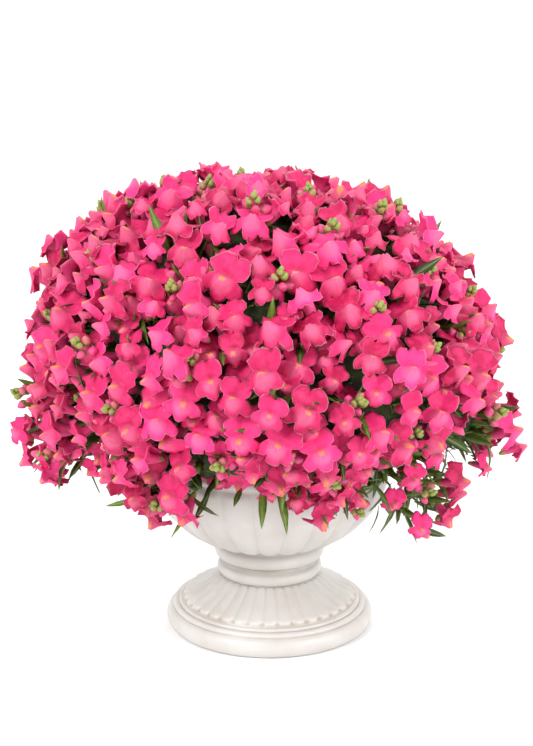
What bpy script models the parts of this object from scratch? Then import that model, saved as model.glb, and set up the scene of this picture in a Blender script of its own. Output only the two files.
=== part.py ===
"""A snapdragon in full flower, planted in a footed white urn.

The urn is two castings: a foot with a gadrooned skirt, and a gadrooned bowl whose spigot drops
into the foot. Potting soil fills the bowl, and the plant's main stems stand in plain holes in it.
The plant is one green bush of stems and narrow leaves, and each flower spike at the end of a stem
is a pink head of two-lipped florets grown round one small stalk.

Metres, +Z up, origin at the centre of the face the foot stands on. The front is towards -Y.
"""

import math
import random

import bmesh
import bpy
import numpy as np
from mathutils import Matrix, Vector
from mathutils.bvhtree import BVHTree

# Urn, driving sizes
FOOT_RADIUS = 0.1055
FOOT_TOP = 0.0715
COLLAR_RADIUS = 0.0575
BOWL_RADIUS = 0.1215
BOWL_DEPTH = 0.1025
BOWL_RIM_HEIGHT = 0.1780
LIP_HEIGHT = 0.0130
WALL = 0.0075
SPIGOT_RADIUS = 0.0320
SPIGOT_DEPTH = 0.0100
GAP = 0.0004
URN_STEPS = 72
HOLLOW_STEPS = 24
BOWL_GADROONS = 24
BOWL_GADROON_DEPTH = 0.0036
FOOT_GADROONS = 36
FOOT_GADROON_DEPTH = 0.0022

# Soil
SOIL_HEIGHT = 0.1720
SOIL_CROWN = 0.0060

# Dome of flowers, and the bush inside it
SEED = 11
DOME_CENTRE = 0.2900
DOME_RADIUS = 0.2300
DOME_RISE = 0.1730
DOME_LEAN = 0.13
DOME_LOWEST_HEAD = 0.2380
DOME_HEADS = 47
HEAD_JITTER = 0.0050
BUSH_CENTRE = 0.2880
BUSH_RADIUS = 0.1350
BUSH_RISE = 0.0850
BUSH_ROUGHNESS = 0.14
ROOTED_STEMS = 5
ROOTED_STEM_RING = 0.0520
ROOTED_STEM_RADIUS = 0.0045
ROOTED_STEM_DEPTH = 0.0300
STEM_RADIUS = 0.0024

# Flower head
RING_FLORETS = 6
RING_REACH = 0.0370
HEAD_CURVE = 0.1500
CENTRE_LIFT = 0.0080
STALK_RADIUS = 0.0078
STALK_TOP = -0.0320
STALK_FOOT = -0.0450
FLORET_RADIUS = 0.0225
FLORET_CLEARANCE = 0.0005
HEAD_CLEARANCE = 0.0004
HEAD_INSET = 0.0080
FLORET_SPACING = 0.0430
FLORET_SPLAY = 0.42
HEAD_RANGE = 0.1600
FACING_LEVEL = 0.78

# Two-lipped rim of one floret: degrees round from its right, reach and forward lean as shares of
# its radius. The upper lip has two round lobes and the lower lip three, with a notch between each.
FLORET_RIM = (
    (8, 0.52, -0.20),
    (34, 0.96, -0.14),
    (66, 0.99, -0.12),
    (90, 0.66, -0.06),
    (114, 0.99, -0.12),
    (146, 0.96, -0.14),
    (172, 0.52, -0.20),
    (208, 0.97, 0.06),
    (240, 0.66, 0.12),
    (270, 0.99, 0.16),
    (300, 0.66, 0.12),
    (332, 0.97, 0.06),
)
PALATE_FORWARD = 0.0060
PALATE_DROP = 0.0024

# Spikes that trail below the dome: place of the end floret, and how steeply the spike looks down
TRAILING_HEADS = (
    ((-0.2400, -0.0400, 0.1880), 0.50),
    ((-0.1560, -0.1220, 0.2040), 0.50),
    ((-0.1220, -0.1600, 0.1860), 0.60),
    ((0.0660, -0.1760, 0.1900), 0.60),
    ((0.1300, -0.1480, 0.2080), 0.55),
    ((0.1720, -0.1060, 0.1500), 0.60),
    ((0.2420, -0.0280, 0.2000), 0.45),
    ((0.0200, 0.2000, 0.1820), 0.60),
    ((-0.1200, 0.1740, 0.1820), 0.60),
)
TRAILING_FLORETS = 4
TRAILING_SIZE = 0.66
KNEE_RADIUS = 0.1440
KNEE_HEIGHT = 0.2050

# Leaves
LEAF_LENGTH = 0.0420
LEAF_WIDTH = 0.0110
LEAF_THICK = 0.0012
LEAF_ARCH = 0.0050
TUFTS = 20
TUFT_LEAVES = 3
TUFT_NODE = 0.0060
TUFT_SINKS = (0.0400, 0.0440, 0.0360, 0.0320)
TUFT_APART = 0.0340
TUFT_TRIALS = 1600
TUFT_LOWEST = 2.10

GOLDEN_ANGLE = math.pi * (3.0 - math.sqrt(5.0))
SHARP_ANGLE = math.radians(50.0)


def clear_scene():
    for obj in list(bpy.data.objects):
        bpy.data.objects.remove(obj, do_unlink=True)


def new_collection(name):
    collection = bpy.data.collections.new(name)
    bpy.context.scene.collection.children.link(collection)
    return collection


def plain_material(name, colour, roughness):
    material = bpy.data.materials.new(name)
    material.use_nodes = True
    shader = material.node_tree.nodes["Principled BSDF"]
    shader.inputs["Base Color"].default_value = (*colour, 1.0)
    shader.inputs["Roughness"].default_value = roughness
    shader.inputs["Metallic"].default_value = 0.0
    return material


def object_from(bm, name, collection, material=None):
    """A new object that holds the bmesh, which is freed. It is shaded smooth up to its sharp edges."""
    for face in bm.faces:
        face.smooth = True
    for edge in bm.edges:
        edge.smooth = edge.calc_face_angle(0.0) < SHARP_ANGLE
    mesh = bpy.data.meshes.new(name)
    bm.to_mesh(mesh)
    bm.free()
    if material:
        mesh.materials.append(material)
    obj = bpy.data.objects.new(name, mesh)
    collection.objects.link(obj)
    return obj


def arc(centre, radii, start, end, count):
    """Points of an elliptic arc, angles in degrees, both ends included."""
    turns = np.radians(np.linspace(start, end, count))
    return [(centre[0] + radii[0] * math.cos(a), centre[1] + radii[1] * math.sin(a)) for a in turns]


def turned(name, profile, steps, collection, material=None):
    """A solid of revolution about Z. The profile runs from the axis at the bottom to the axis at the top."""
    bm = bmesh.new()
    points = [bm.verts.new((radius, 0.0, height)) for radius, height in profile]
    for low, high in zip(points, points[1:]):
        bm.edges.new((low, high))
    bmesh.ops.spin(
        bm, geom=bm.verts[:] + bm.edges[:], cent=(0, 0, 0), axis=(0, 0, 1), angle=2 * math.pi,
        steps=steps, use_merge=True,
    )
    bmesh.ops.remove_doubles(bm, verts=bm.verts[:], dist=1e-6)
    bmesh.ops.recalc_face_normals(bm, faces=bm.faces[:])
    return object_from(bm, name, collection, material)


def raise_gadroons(obj, count, depth, low, high, least_radius):
    """Pushes the outer wall between two heights out into rounded upright lobes, which fade at both ends."""
    for vertex in obj.data.vertices:
        x, y, z = vertex.co
        radius = math.hypot(x, y)
        if not low < z < high or radius < least_radius(z):
            continue
        lobe = abs(math.cos(0.5 * count * math.atan2(x, -y)))
        rise = min(1.0, 4.0 * (z - low) / (high - low) + 0.35, 4.0 * (high - z) / (high - low) + 0.35)
        grown = 1.0 + depth * rise * lobe / radius
        vertex.co.x *= grown
        vertex.co.y *= grown


def build_foot(collection, material):
    roll = arc((FOOT_RADIUS - 0.006, 0.0095), (0.006, 0.0093), -78, 70, 4)
    step = arc((0.0925, 0.0188), (0.0065, 0.0070), 20, 80, 2)
    skirt_low, skirt_high = (0.0868, 0.0292), (0.0500, 0.0530)
    skirt = [
        (
            skirt_low[0] + t * (skirt_high[0] - skirt_low[0]),
            skirt_low[1] + (t - 0.35 * t * (1 - t)) * (skirt_high[1] - skirt_low[1]),
        )
        for t in (0.0, 0.5, 1.0)
    ]
    ring = arc((0.0475, 0.0608), (0.0058, 0.0075), -50, 75, 3)
    socket = SPIGOT_RADIUS
    profile = [(0.0, 0.0), (0.0985, 0.0)] + roll + step + [(0.0880, 0.0262)] + skirt + ring
    profile += [(0.0460, FOOT_TOP), (socket, FOOT_TOP), (socket, FOOT_TOP - SPIGOT_DEPTH), (0.0, FOOT_TOP - SPIGOT_DEPTH)]
    foot = turned("urn_foot", profile, URN_STEPS, collection, material)
    raise_gadroons(foot, FOOT_GADROONS, FOOT_GADROON_DEPTH, 0.0285, 0.0525, lambda z: 0.040)
    return foot


def bowl_radius(height, thickness=0.0):
    """Radius of the bowl's ellipsoid at a height, less a wall thickness."""
    share = (BOWL_RIM_HEIGHT - height) / (BOWL_DEPTH - thickness)
    return (BOWL_RADIUS - thickness) * math.sqrt(max(0.0, 1.0 - share * share))


def cavity_profile(shrink):
    """Profile of the bowl's hollow up to the soil's surface, made smaller all round by shrink."""
    floor = BOWL_RIM_HEIGHT - BOWL_DEPTH + WALL + 0.004
    wall = [(bowl_radius(h, WALL) - shrink, h) for h in np.linspace(floor, SOIL_HEIGHT, 5)]
    return [(0.0, floor + shrink), (wall[0][0], floor + shrink)] + wall[1:]


def build_bowl(collection, cutters, material):
    under = FOOT_TOP + GAP
    collar = arc((0.0488, 0.0900), (COLLAR_RADIUS - 0.0488, 0.0900 - under), -90, 0, 4)
    wall_start = math.degrees(math.asin((0.0925 - BOWL_RIM_HEIGHT) / BOWL_DEPTH))
    wall = arc((0.0, BOWL_RIM_HEIGHT), (BOWL_RADIUS, BOWL_DEPTH), wall_start, 0, 6)
    lip = arc((BOWL_RADIUS, BOWL_RIM_HEIGHT + LIP_HEIGHT / 2), (0.0060, LIP_HEIGHT / 2), -60, 90, 3)
    top = BOWL_RIM_HEIGHT + LIP_HEIGHT
    spigot = SPIGOT_RADIUS - GAP
    foot_of_spigot = FOOT_TOP - SPIGOT_DEPTH + GAP
    profile = [(0.0, foot_of_spigot), (spigot, foot_of_spigot), (spigot, under)]
    profile += collar + wall + lip + [(0.0, top)]
    bowl = turned("urn_bowl", profile, URN_STEPS, collection, material)
    raise_gadroons(bowl, BOWL_GADROONS, BOWL_GADROON_DEPTH, 0.0920, BOWL_RIM_HEIGHT - 0.001, lambda z: 0.05)
    inner = bowl_radius(BOWL_RIM_HEIGHT, WALL)
    hollow = cavity_profile(0.0) + [(inner, BOWL_RIM_HEIGHT), (inner, top + WALL), (0.0, top + WALL)]
    cutter = turned("bowl_hollow_cutter", hollow, HOLLOW_STEPS, cutters)
    cut(bowl, cutter)
    return bowl


def cut(obj, cutter):
    cutter.hide_render = True
    cutter.display_type = "WIRE"
    modifier = obj.modifiers.new("Cut", "BOOLEAN")
    modifier.operation = "DIFFERENCE"
    modifier.object = cutter


def rooted_stem_places():
    """Where the main stems go into the soil."""
    return [
        Vector((ROOTED_STEM_RING * math.cos(a), ROOTED_STEM_RING * math.sin(a), 0.0))
        for a in (2 * math.pi * (i + 0.25) / ROOTED_STEMS for i in range(ROOTED_STEMS))
    ]


def build_soil(collection, cutters, material):
    profile = cavity_profile(GAP)
    edge = profile[-1][0]
    profile += [(0.55 * edge, SOIL_HEIGHT + SOIL_CROWN), (0.0, SOIL_HEIGHT + SOIL_CROWN)]
    soil = turned("potting_soil", profile, HOLLOW_STEPS, collection, material)
    bm = bmesh.new()
    depth = ROOTED_STEM_DEPTH + 0.002
    up = Vector((0, 0, 1))
    for place in rooted_stem_places():
        middle = place + up * (SOIL_HEIGHT + SOIL_CROWN)
        prism(bm, [(middle - up * depth, up), (middle + up * depth, up)], ROOTED_STEM_RADIUS + GAP, 5)
    cut(soil, object_from(bm, "stem_holes_cutter", cutters))
    return soil


def dome_polar_angle(share):
    """Polar angle, on the dome's ellipsoid, of the ring with this share of the head-bearing area above it."""
    last = math.acos((DOME_LOWEST_HEAD - DOME_CENTRE) / DOME_RISE)
    angles = np.linspace(0.0, last, 241)
    strip = np.sin(angles) * np.hypot(DOME_RADIUS * np.cos(angles), DOME_RISE * np.sin(angles))
    area = np.concatenate([[0.0], np.cumsum((strip[1:] + strip[:-1]) / 2)])
    return float(np.interp(share * area[-1], area, angles))


def dome_point(polar, turn):
    """(point, outward axis) on the dome's ellipsoid, whose upper part leans to the left."""
    flat = Vector((math.cos(turn), math.sin(turn), 0.0))
    rise = DOME_RISE * math.cos(polar)
    point = flat * (DOME_RADIUS * math.sin(polar)) + Vector((0, 0, DOME_CENTRE + rise))
    point.x -= DOME_LEAN * max(0.0, rise)
    axis = flat * (math.sin(polar) / DOME_RADIUS) + Vector((0, 0, math.cos(polar) / DOME_RISE))
    return point, axis.normalized()


def head_frames():
    """(middle, outward axis, size, ring florets) of each head: the dome's on an equal-area spiral, then the others."""
    rng = random.Random(SEED)
    frames = []
    for i in range(DOME_HEADS):
        point, axis = dome_point(dome_polar_angle((i + 0.5) / DOME_HEADS), i * GOLDEN_ANGLE)
        frames.append((point + axis * rng.uniform(-HEAD_JITTER, HEAD_JITTER), axis, 1.0, RING_FLORETS))
    for place, droop in TRAILING_HEADS:
        middle = Vector(place)
        axis = Vector((middle.x, middle.y, 0.0)).normalized() + Vector((0, 0, -droop))
        frames.append((middle, axis.normalized(), TRAILING_SIZE, TRAILING_FLORETS))
    return frames


def side_axes(axis):
    """Two unit vectors square to the axis: one level, and one that looks up the slope."""
    level = Vector((0, 0, 1)).cross(axis)
    if level.length < 0.05:
        level = Vector((1, 0, 0))
    level.normalize()
    return level, axis.cross(level).normalized()


def floret_layout(frames):
    """Every floret as a dict: its head, centre, facing, and the walls where its petals would meet a neighbour's."""
    rng = random.Random(SEED + 1)
    florets = []
    for index, (middle, axis, size, ring) in enumerate(frames):
        level, rise = side_axes(axis)
        twist = rng.uniform(0, 2 * math.pi / ring)
        centre = middle + axis * CENTRE_LIFT * size
        florets.append({"head": index, "slot": -1, "centre": centre, "facing": lowered(axis), "twist": twist})
        for slot in range(ring):
            turn = twist + 2 * math.pi * slot / ring
            out = level * math.cos(turn) + rise * math.sin(turn)
            reach = size * RING_REACH * rng.uniform(0.96, 1.04)
            centre = middle + out * reach - axis * (reach * reach / (2 * HEAD_CURVE) + rng.uniform(0.0, 0.005))
            facing = lowered(axis + out * FLORET_SPLAY)
            florets.append({"head": index, "slot": slot, "centre": centre, "facing": facing, "twist": twist})
    walls = head_walls(frames)
    even_out(florets, walls)
    for floret in florets:
        floret["walls"] = [(normal, reach - floret["centre"].dot(normal)) for normal, reach in walls[floret["head"]]]
        for other in florets:
            away = other["centre"] - floret["centre"]
            if 0.0 < away.length < 2 * FLORET_RADIUS:
                floret["walls"].append((away.normalized(), away.length / 2 - FLORET_CLEARANCE))
    return florets


def head_walls(frames):
    """For each head, planes (normal, distance from the origin) between it and the heads round it."""
    walls = []
    for here, _, size, _ in frames:
        own = []
        for there, _, other_size, _ in frames:
            away = there - here
            if 0.0 < away.length < HEAD_RANGE:
                normal = away.normalized()
                share = size / (size + other_size)
                own.append((normal, here.dot(normal) + away.length * share - HEAD_CLEARANCE))
        walls.append(own)
    return walls


def within_walls(offset, walls):
    """The offset from a floret's centre, shortened where it would go past a wall."""
    share = 1.0
    for normal, limit in walls:
        if offset.dot(normal) > limit:
            share = min(share, limit / offset.dot(normal))
    return offset * share


def lowered(direction):
    """The direction turned a little towards the level: florets look out more than up."""
    return Vector((direction.x, direction.y, direction.z * FACING_LEVEL)).normalized()


def even_out(florets, walls):
    """Slides ring florets along their head's surface, away from any nearer than the usual spacing, within its walls."""
    points = np.array([f["centre"] for f in florets])
    facings = np.array([f["facing"] for f in florets])
    home = points.copy()
    in_ring = np.array([f["slot"] >= 0 for f in florets])
    for _ in range(60):
        away = points[:, None] - points[None]
        apart = np.linalg.norm(away, axis=2)
        np.fill_diagonal(apart, np.inf)
        push = np.clip(FLORET_SPACING - apart, 0.0, None) / apart
        step = 0.25 * (away * push[:, :, None]).sum(axis=1)
        step -= facings * (step * facings).sum(axis=1)[:, None]
        step += 0.04 * (home - points)
        points += step * in_ring[:, None]
        for k, floret in enumerate(florets):
            for normal, reach in walls[floret["head"]]:
                past = float(points[k] @ np.array(normal)) + HEAD_INSET - reach
                if past > 0.0:
                    points[k] -= past * np.array(normal)
    for floret, point in zip(florets, points):
        floret["centre"] = Vector(point)


def middle_of(loop):
    return sum((v.co for v in loop), Vector()) / len(loop)


def stitch(bm, inner, outer, outer_centre, axis):
    """Triangles between two loops of unlike counts that go round the same axis."""
    level, rise = side_axes(axis)

    def around(loop, centre):
        turns = [math.atan2((v.co - centre).dot(rise), (v.co - centre).dot(level)) for v in loop]
        order = sorted(range(len(loop)), key=lambda k: turns[k])
        return [loop[k] for k in order], [turns[k] for k in order]

    inner, inner_turns = around(inner, middle_of(inner))
    outer, outer_turns = around(outer, outer_centre)
    i = j = 0
    while i < len(inner) or j < len(outer):
        next_i = inner_turns[i + 1] if i + 1 < len(inner) else inner_turns[0] + 2 * math.pi
        next_j = outer_turns[j + 1] if j + 1 < len(outer) else outer_turns[0] + 2 * math.pi
        here = (inner[i % len(inner)], outer[j % len(outer)])
        if j >= len(outer) or (i < len(inner) and next_i < next_j):
            bm.faces.new((*here, inner[(i + 1) % len(inner)]))
            i += 1
        else:
            bm.faces.new((*here, outer[(j + 1) % len(outer)]))
            j += 1


def grow_floret(bm, neck, floret):
    """A two-lipped floret on a loop of the stalk's vertices: tube, lobed rim, and a face that swells at the palate."""
    facing, centre, walls = floret["facing"], floret["centre"], floret["walls"]
    level, rise = side_axes(facing)
    rim = []
    for degrees, reach, forward in FLORET_RIM:
        turn = math.radians(degrees)
        out = level * math.cos(turn) + rise * math.sin(turn)
        offset = (out * reach + facing * forward) * FLORET_RADIUS
        rim.append(bm.verts.new(centre + within_walls(offset, walls)))
    palate = bm.verts.new(centre + facing * PALATE_FORWARD - rise * PALATE_DROP)
    stitch(bm, neck, rim, centre, facing)
    for here, there in zip(rim, rim[1:] + rim[:1]):
        bm.faces.new((here, there, palate))


def section(bm, centre, axis, radius, sides, twist=0.0):
    """A loop of vertices square to the axis."""
    level, rise = side_axes(axis)
    turns = [twist + 2 * math.pi * (k - 0.5) / sides for k in range(sides)]
    return [bm.verts.new(centre + (level * math.cos(a) + rise * math.sin(a)) * radius) for a in turns]


def nearest_order(loop, target):
    """The loop turned round its start so that its vertices match the target's best."""
    count = len(loop)
    shifts = [sum((loop[(k + s) % count].co - target[k].co).length for k in range(count)) for s in range(count)]
    best = shifts.index(min(shifts))
    return loop[best:] + loop[:best]


def prism(bm, stations, radius, sides, capped=True):
    """A bar through (centre, axis) stations, each a loop square to its axis. Returns the loops."""
    loops = []
    for centre, axis in stations:
        loop = section(bm, centre, axis, radius, sides)
        if loops:
            loop = nearest_order(loop, loops[-1])
            for k in range(sides):
                after = (k + 1) % sides
                bm.faces.new((loops[-1][k], loops[-1][after], loop[after], loop[k]))
        loops.append(loop)
    bm.faces.new(loops[0])
    if capped:
        bm.faces.new(loops[-1])
    bmesh.ops.recalc_face_normals(bm, faces=bm.faces[:])
    return loops


def build_head(name, frame, florets, collection, material):
    """One flower spike: a stalk with a floret on each side of it and one on its end."""
    middle, axis, size, ring = frame
    bm = bmesh.new()
    twist = florets[0]["twist"]
    foot = section(bm, middle + axis * STALK_FOOT * size, axis, STALK_RADIUS * size, ring, twist)
    top = section(bm, middle + axis * STALK_TOP * size, axis, STALK_RADIUS * size, ring, twist)
    bm.faces.new(foot)
    grow_floret(bm, top, florets[0])
    for side in range(ring):
        after = (side + 1) % ring
        grow_floret(bm, [foot[side], foot[after], top[after], top[side]], florets[1 + side])
    bmesh.ops.recalc_face_normals(bm, faces=bm.faces[:])
    return object_from(bm, name, collection, material)


def grow_leaf(bm, neck, along, upper, length):
    """A narrow, pointed, arched blade with a keel, grown on a loop of a shoot's vertices."""
    root = middle_of(neck)
    along = along.normalized()
    side = upper.cross(along).normalized()
    upper = along.cross(side)
    loops = []
    for share, width in ((0.38, 1.0), (0.74, 0.70)):
        spine = root + along * (share * length) + upper * (4 * LEAF_ARCH * share * (1 - share))
        half = width * LEAF_WIDTH / 2
        corners = (side * half + upper * LEAF_THICK, upper * -LEAF_THICK, side * -half + upper * LEAF_THICK)
        loops.append([bm.verts.new(spine + corner) for corner in corners])
    tip = bm.verts.new(root + along * length)
    stitch(bm, neck, loops[0], middle_of(loops[0]), along)
    for k in range(3):
        after = (k + 1) % 3
        bm.faces.new((loops[0][k], loops[0][after], loops[1][after], loops[1][k]))
        bm.faces.new((loops[1][k], loops[1][after], tip))


def tuft_bmesh(base, axis, heart, rng):
    """A shoot from the bush's core that ends in a rosette of leaves round its tip."""
    bm = bmesh.new()
    loops = prism(bm, [(heart + (base - heart) * 0.35, axis), (base, axis)], STEM_RADIUS, 3, capped=False)
    tip = [bm.verts.new(v.co + axis * TUFT_NODE) for v in loops[-1]]
    bm.faces.new(tip)
    for k in range(TUFT_LEAVES):
        after = (k + 1) % TUFT_LEAVES
        neck = [loops[-1][k], loops[-1][after], tip[after], tip[k]]
        out = (middle_of(neck) - base - axis * (TUFT_NODE / 2)).normalized()
        grow_leaf(bm, neck, axis + out * rng.uniform(0.4, 0.7), axis - out, LEAF_LENGTH * rng.uniform(0.85, 1.1))
    bmesh.ops.recalc_face_normals(bm, faces=bm.faces[:])
    return bm


def tuft_places(florets):
    """(point, axis) places on the dome, the ones furthest from any floret first."""
    centres = np.array([f["centre"] for f in florets])
    found = []
    for i in range(TUFT_TRIALS):
        polar = math.acos(1.0 - (1.0 - math.cos(TUFT_LOWEST)) * (i + 0.5) / TUFT_TRIALS)
        point, axis = dome_point(polar, i * GOLDEN_ANGLE)
        gap = float(np.linalg.norm(centres - np.array(point), axis=1).min())
        found.append((-gap, i, point, axis))
    return [(point, axis) for _, _, point, axis in sorted(found, key=lambda entry: entry[:2])]


def build_bush(frames, florets, blockers, collection, material):
    """Stems and leaves: a small core, a stem to each head and leaf tuft, and the stems that go into the soil."""
    bm = bmesh.new()
    heart = Vector((0, 0, BUSH_CENTRE))
    shape = Matrix.Translation(heart) @ Matrix.Diagonal((BUSH_RADIUS, BUSH_RADIUS, BUSH_RISE, 1.0))
    bmesh.ops.create_icosphere(bm, subdivisions=2, radius=1.0, matrix=shape)
    rng = random.Random(SEED + 2)
    for vertex in bm.verts:
        vertex.co = heart + (vertex.co - heart) * rng.uniform(1.0 - BUSH_ROUGHNESS, 1.0 + BUSH_ROUGHNESS)
    bush = object_from(bm, "bush", collection, material)
    repeats = new_collection("bush_repeats")
    up = Vector((0, 0, 1))
    for middle, axis, size, _ in frames:
        end = middle + axis * (STALK_FOOT * size - GAP)
        stations = [(heart + (end - heart) * 0.35, (end - heart).normalized()), (end, axis)]
        if size < 1.0:
            flat = Vector((end.x, end.y, 0.0)).normalized()
            knee = flat * KNEE_RADIUS + up * KNEE_HEIGHT
            stations = [(heart + (knee - heart) * 0.35, flat), (knee, (flat - up).normalized()), (end, axis)]
        bm = bmesh.new()
        prism(bm, stations, STEM_RADIUS, 3)
        object_from(bm, "stem", repeats)
    for place in rooted_stem_places():
        low = place + up * (SOIL_HEIGHT + SOIL_CROWN - ROOTED_STEM_DEPTH)
        bm = bmesh.new()
        prism(bm, [(low, up), (place + up * (BUSH_CENTRE - 0.02), up)], ROOTED_STEM_RADIUS, 5)
        object_from(bm, "rooted_stem", repeats)
    trees = [BVHTree.FromObject(obj, bpy.context.evaluated_depsgraph_get()) for obj in blockers]
    chosen = []
    for point, axis in tuft_places(florets):
        if len(chosen) == TUFTS:
            break
        if any((point - other).length < TUFT_APART for other in chosen):
            continue
        for sink in TUFT_SINKS:
            bm = tuft_bmesh(point - axis * sink, axis, heart, rng)
            own = BVHTree.FromBMesh(bm)
            if not any(own.overlap(tree) for tree in trees):
                chosen.append(point)
                object_from(bm, "tuft", repeats)
                break
            bm.free()
    join_repeats(bush, repeats)
    return bush


def join_repeats(obj, repeats):
    """One Boolean union of a collection into the object, applied, and the collection's objects removed."""
    modifier = obj.modifiers.new("Join", "BOOLEAN")
    modifier.operation = "UNION"
    modifier.operand_type = "COLLECTION"
    modifier.collection = repeats
    modifier.solver = "EXACT"
    bpy.context.view_layer.update()
    graph = bpy.context.evaluated_depsgraph_get()
    joined = bpy.data.meshes.new_from_object(obj.evaluated_get(graph))
    obj.modifiers.clear()
    obj.data = joined
    for piece in list(repeats.objects):
        bpy.data.objects.remove(piece, do_unlink=True)
    bpy.data.collections.remove(repeats)


def main():
    clear_scene()
    plant = new_collection("snapdragon_in_urn")
    cutters = new_collection("cutters")
    cast_white = plain_material("cast_white", (0.80, 0.77, 0.73), 0.45)
    damp_soil = plain_material("damp_soil", (0.045, 0.028, 0.018), 0.95)
    leaf_green = plain_material("leaf_green", (0.075, 0.140, 0.035), 0.55)
    petal_pink = plain_material("petal_pink", (0.83, 0.030, 0.190), 0.60)
    build_foot(plant, cast_white)
    build_bowl(plant, cutters, cast_white)
    build_soil(plant, cutters, damp_soil)
    frames = head_frames()
    florets = floret_layout(frames)
    for index, frame in enumerate(frames):
        own = [f for f in florets if f["head"] == index]
        build_head(f"flower_head_{index + 1:02d}", frame, own, plant, petal_pink)
    bpy.context.view_layer.update()
    build_bush(frames, florets, list(plant.objects), plant, leaf_green)


main()
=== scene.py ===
"""A snapdragon in full flower in a footed white urn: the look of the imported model, laid out as an add-on.

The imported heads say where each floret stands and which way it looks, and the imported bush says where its
leaves are, so every fine piece grows where the plain solid is. Lengths are in metres, +Z is up and the
front is towards -Y.
"""

import math
import random

import bmesh
import bpy
import numpy as np
from bpy.props import FloatProperty, IntProperty, PointerProperty, StringProperty
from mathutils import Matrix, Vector
from mathutils.kdtree import KDTree


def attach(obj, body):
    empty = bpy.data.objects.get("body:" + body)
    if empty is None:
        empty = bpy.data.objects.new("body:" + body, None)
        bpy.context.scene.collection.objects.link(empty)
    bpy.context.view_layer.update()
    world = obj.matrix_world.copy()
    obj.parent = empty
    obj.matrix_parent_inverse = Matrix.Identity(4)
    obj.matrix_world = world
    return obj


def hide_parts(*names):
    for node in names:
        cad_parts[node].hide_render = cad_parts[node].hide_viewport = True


bl_info = {
    "name": "Snapdragon in an urn",
    "version": (1, 0, 0),
    "blender": (4, 5, 0),
    "location": "3D View > Sidebar > Snapdragon",
    "description": "Builds the florets, leaves, stems, buds, soil and urn of a potted snapdragon",
    "category": "Object",
}

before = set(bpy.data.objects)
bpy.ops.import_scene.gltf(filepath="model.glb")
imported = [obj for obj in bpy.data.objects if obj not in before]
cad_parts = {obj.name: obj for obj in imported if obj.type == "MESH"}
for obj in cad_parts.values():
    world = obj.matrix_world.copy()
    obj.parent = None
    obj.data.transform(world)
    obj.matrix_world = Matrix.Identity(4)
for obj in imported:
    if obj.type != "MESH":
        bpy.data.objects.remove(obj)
HEADS = sorted(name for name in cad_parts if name.startswith("flower_head"))
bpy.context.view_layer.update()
UP = Vector((0, 0, 1))

# Urn: its bowl is a half ellipsoid that hangs from the rim
RIM_HEIGHT = 0.1780
BOWL_RADIUS = 0.1190
BOWL_DEPTH = 0.0980
BOWL_WALL = 0.0075
BOWL_FLOOR = RIM_HEIGHT - BOWL_DEPTH + BOWL_WALL + 0.0040
BOWL_RIBS = 24
FOOT_RIBS = 36
SOIL_HEIGHT = 0.1720
SOIL_CROWN = 0.0055
GAP = 0.0004

# Plant: a head of the dome has this many florets, and a trailing head fewer
FULL_HEAD = 7
HEART = Vector((0, 0, 0.288))
HEART_FLOOR = 0.2000
SHELL = 0.036
STEM_COUNT = 5
SIDES = (("front", -90.0), ("right", 0.0), ("back", 90.0), ("left", 180.0))

# View: one pixel of the photograph, which is 746 high, is a millimetre at the target
PHOTO_SIDE_MM = 746.0
CAMERA_TARGET = Vector((-0.003, 0.0, 0.2636))
CAMERA_DISTANCE = 1.8
CAMERA_RISE = math.radians(15.0)
SENSOR_MM = 36.0


# Colours and shader nodes

MATH, MIX, SMOOTH = "ShaderNodeMath", "ShaderNodeMix", "ShaderNodeMapRange"
RANDOM, NAMED = "FunctionNodeRandomValue", "GeometryNodeInputNamedAttribute"
SOFT = {"interpolation_type": "SMOOTHSTEP"}
SCATTER = {"Pieces": "Collection", "Material": "Material", "Seed": "Int"}


def srgb(code):
    """A linear RGBA colour from a #rrggbb code."""
    channels = [int(code[i : i + 2], 16) / 255 for i in (1, 3, 5)]
    return (*(c / 12.92 if c <= 0.04045 else ((c + 0.055) / 1.055) ** 2.4 for c in channels), 1.0)


def add(tree, kind, inputs=(), **settings):
    """The outputs of a new node. Its inputs are sockets, values or #rrggbb codes, in order or by key."""
    node = tree.nodes.new(kind)
    for key, value in settings.items():
        setattr(node, key, value)
    for key, value in inputs.items() if isinstance(inputs, dict) else enumerate(inputs):
        if isinstance(value, bpy.types.NodeSocket):
            tree.links.new(value, node.inputs[key])
        else:
            node.inputs[key].default_value = srgb(value) if str(value).startswith("#") else value
    return node.outputs


def grain(tree, size_mm, detail=3.0):
    """Noise in object space whose largest features are about this many millimetres across."""
    place = add(tree, "ShaderNodeTexCoord")["Object"]
    return add(tree, "ShaderNodeTexNoise", {"Vector": place, "Scale": 1000 / size_mm, "Detail": detail})["Fac"]


def patches(tree, size_mm, detail, low, high):
    """Soft patches of such noise: 0 where it is under low and 1 where it is over high."""
    return add(tree, SMOOTH, (grain(tree, size_mm, detail), low, high), **SOFT)[0]


def spot(tree, x, y, below, width, flatten=1.0):
    """1 at a place below the middle, falling smoothly to 0 at about twice the width from it."""
    y = add(tree, MATH, (y, below), operation="ADD")[0]
    y = add(tree, MATH, (y, flatten), operation="MULTIPLY")[0]
    shares = [add(tree, MATH, (axis, width), operation="DIVIDE")[0] for axis in (x, y)]
    squares = [add(tree, MATH, (share, 2.0), operation="POWER")[0] for share in shares]
    return add(tree, SMOOTH, (add(tree, MATH, squares, operation="ADD")[0], 4.0, 0.0), **SOFT)[0]


def layered(tree, colour, *layers):
    """A colour with layers over it, each of them (mask, strength, colour)."""
    for mask, strength, above in layers:
        share = add(tree, MATH, (mask, strength), operation="MULTIPLY")[0]
        colour = add(tree, MIX, {0: share, 6: colour, 7: above}, data_type="RGBA")[2]
    return colour


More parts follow.
